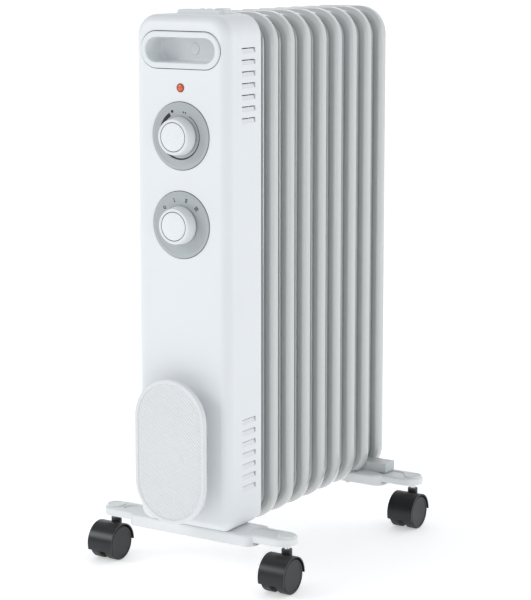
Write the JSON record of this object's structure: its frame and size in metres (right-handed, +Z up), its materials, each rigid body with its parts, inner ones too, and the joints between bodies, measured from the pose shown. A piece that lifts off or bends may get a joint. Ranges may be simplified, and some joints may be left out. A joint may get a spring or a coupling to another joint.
{
  "type": "oil filled radiator heater",
  "caption": "Oil filled radiator heater: upright steel fins, a control housing with two dials, a carrying handle and a cord winder, on swivelling twin-wheel casters.",
  "frame": {"origin": "on the floor, at the middle of the object's footprint", "axes": "+X to the right seen from the front, +Y from the control housing to the last fin, +Z up"},
  "size_m": [0.265, 0.378, 0.6338],
  "materials": {
    "fin_enamel": "gloss stoved enamel",
    "oil": "clear thermal oil",
    "element_steel": "bright drawn",
    "housing_plastic": "satin moulded",
    "handle_plastic": "satin moulded",
    "lamp_rim": "moulded",
    "lamp_lens": "translucent",
    "shield_steel": "galvanised",
    "control_plastic": "moulded",
    "wire_insulation": "silicone sleeve",
    "black_rubber": "moulded",
    "winder_plastic": "fine ribbed",
    "foot_plastic": "satin moulded",
    "saddle_enamel": "satin moulded",
    "zinc_steel": "zinc plated",
    "chrome_steel": "polished",
    "dial_grey": "silver grey",
    "knob_plastic": "satin moulded",
    "knob_face": "fine textured",
    "caster_plastic": "satin moulded",
    "wheel_plastic": "satin moulded"
  },
  "bodies": {
    "root": {"fin_1": "fin_enamel", "fin_2": "fin_enamel", "fin_3": "fin_enamel", "fin_4": "fin_enamel", "fin_5": "fin_enamel", "fin_6": "fin_enamel", "fin_7": "fin_enamel", "fin_8": "fin_enamel", "fin_9": "fin_enamel", "joining_collars": "fin_enamel", "channel_plugs": "fin_enamel", "oil_charge": "oil", "heating_element": "element_steel", "control_housing": "housing_plastic", "handle_insert": "handle_plastic", "handle_cap": "handle_plastic", "lamp_holder": "lamp_rim", "lamp_lens": "lamp_lens", "heat_shield": "shield_steel", "thermal_cutout": "control_plastic", "thermostat": "control_plastic", "selector_switch": "control_plastic", "wiring": "wire_insulation", "cord_gland": "black_rubber", "cord_winder_plate": "winder_plastic", "cord_winder_hub": "winder_plastic", "top_pad": "housing_plastic", "top_pad_caps": "housing_plastic", "front_foot": "foot_plastic", "back_foot": "foot_plastic", "back_saddle": "saddle_enamel", "clamp_bow": "zinc_steel", "wing_nuts": "zinc_steel", "stem_caps": "foot_plastic", "housing_screws": "zinc_steel", "caster_stems": "chrome_steel", "thermostat_dial_ring": "dial_grey", "selector_dial_ring": "dial_grey"},
    "thermostat_control": {"thermostat_knob": "knob_plastic", "thermostat_knob_disc": "knob_face", "thermostat_shaft": "zinc_steel"},
    "selector_control": {"selector_knob": "knob_plastic", "selector_knob_disc": "knob_face", "selector_shaft": "zinc_steel"},
    "caster_front_left": {"caster_frame_front_left": "caster_plastic", "caster_axle_front_left": "zinc_steel"},
    "wheel_front_left_a": {"wheel_front_left_a": "wheel_plastic"},
    "wheel_front_left_b": {"wheel_front_left_b": "wheel_plastic"},
    "caster_front_right": {"caster_frame_front_right": "caster_plastic", "caster_axle_front_right": "zinc_steel"},
    "wheel_front_right_a": {"wheel_front_right_a": "wheel_plastic"},
    "wheel_front_right_b": {"wheel_front_right_b": "wheel_plastic"},
    "caster_back_left": {"caster_frame_back_left": "caster_plastic", "caster_axle_back_left": "zinc_steel"},
    "wheel_back_left_a": {"wheel_back_left_a": "wheel_plastic"},
    "wheel_back_left_b": {"wheel_back_left_b": "wheel_plastic"},
    "caster_back_right": {"caster_frame_back_right": "caster_plastic", "caster_axle_back_right": "zinc_steel"},
    "wheel_back_right_a": {"wheel_back_right_a": "wheel_plastic"},
    "wheel_back_right_b": {"wheel_back_right_b": "wheel_plastic"}
  },
  "joints": [
    {"name": "thermostat_turn", "type": "hinge", "parent": "root", "child": "thermostat_control", "pos_m": [0, -0.17, 0.4973], "axis": [0, 1, 0], "range_deg": [0, 270]},
    {"name": "selector_turn", "type": "hinge", "parent": "root", "child": "selector_control", "pos_m": [0, -0.17, 0.4002], "axis": [0, 1, 0], "range_deg": [0, 97]},
    {"name": "swivel_front_left", "type": "hinge", "parent": "root", "child": "caster_front_left", "pos_m": [-0.116, -0.1305, 0.043], "axis": [0, 0, 1], "continuous": true},
    {"name": "roll_front_left_a", "type": "hinge", "parent": "caster_front_left", "child": "wheel_front_left_a", "pos_m": [-0.116, -0.142, 0.02], "axis": [1, 0, 0], "continuous": true},
    {"name": "roll_front_left_b", "type": "hinge", "parent": "caster_front_left", "child": "wheel_front_left_b", "pos_m": [-0.116, -0.142, 0.02], "axis": [1, 0, 0], "continuous": true},
    {"name": "swivel_front_right", "type": "hinge", "parent": "root", "child": "caster_front_right", "pos_m": [0.116, -0.1305, 0.043], "axis": [0, 0, 1], "continuous": true},
    {"name": "roll_front_right_a", "type": "hinge", "parent": "caster_front_right", "child": "wheel_front_right_a", "pos_m": [0.116, -0.142, 0.02], "axis": [1, 0, 0], "continuous": true},
    {"name": "roll_front_right_b", "type": "hinge", "parent": "caster_front_right", "child": "wheel_front_right_b", "pos_m": [0.116, -0.142, 0.02], "axis": [1, 0, 0], "continuous": true},
    {"name": "swivel_back_left", "type": "hinge", "parent": "root", "child": "caster_back_left", "pos_m": [-0.116, 0.1615, 0.043], "axis": [0, 0, 1], "continuous": true},
    {"name": "roll_back_left_a", "type": "hinge", "parent": "caster_back_left", "child": "wheel_back_left_a", "pos_m": [-0.116, 0.15, 0.02], "axis": [1, 0, 0], "continuous": true},
    {"name": "roll_back_left_b", "type": "hinge", "parent": "caster_back_left", "child": "wheel_back_left_b", "pos_m": [-0.116, 0.15, 0.02], "axis": [1, 0, 0], "continuous": true},
    {"name": "swivel_back_right", "type": "hinge", "parent": "root", "child": "caster_back_right", "pos_m": [0.116, 0.1615, 0.043], "axis": [0, 0, 1], "continuous": true},
    {"name": "roll_back_right_a", "type": "hinge", "parent": "caster_back_right", "child": "wheel_back_right_a", "pos_m": [0.116, 0.15, 0.02], "axis": [1, 0, 0], "continuous": true},
    {"name": "roll_back_right_b", "type": "hinge", "parent": "caster_back_right", "child": "wheel_back_right_b", "pos_m": [0.116, 0.15, 0.02], "axis": [1, 0, 0], "continuous": true}
  ]
}
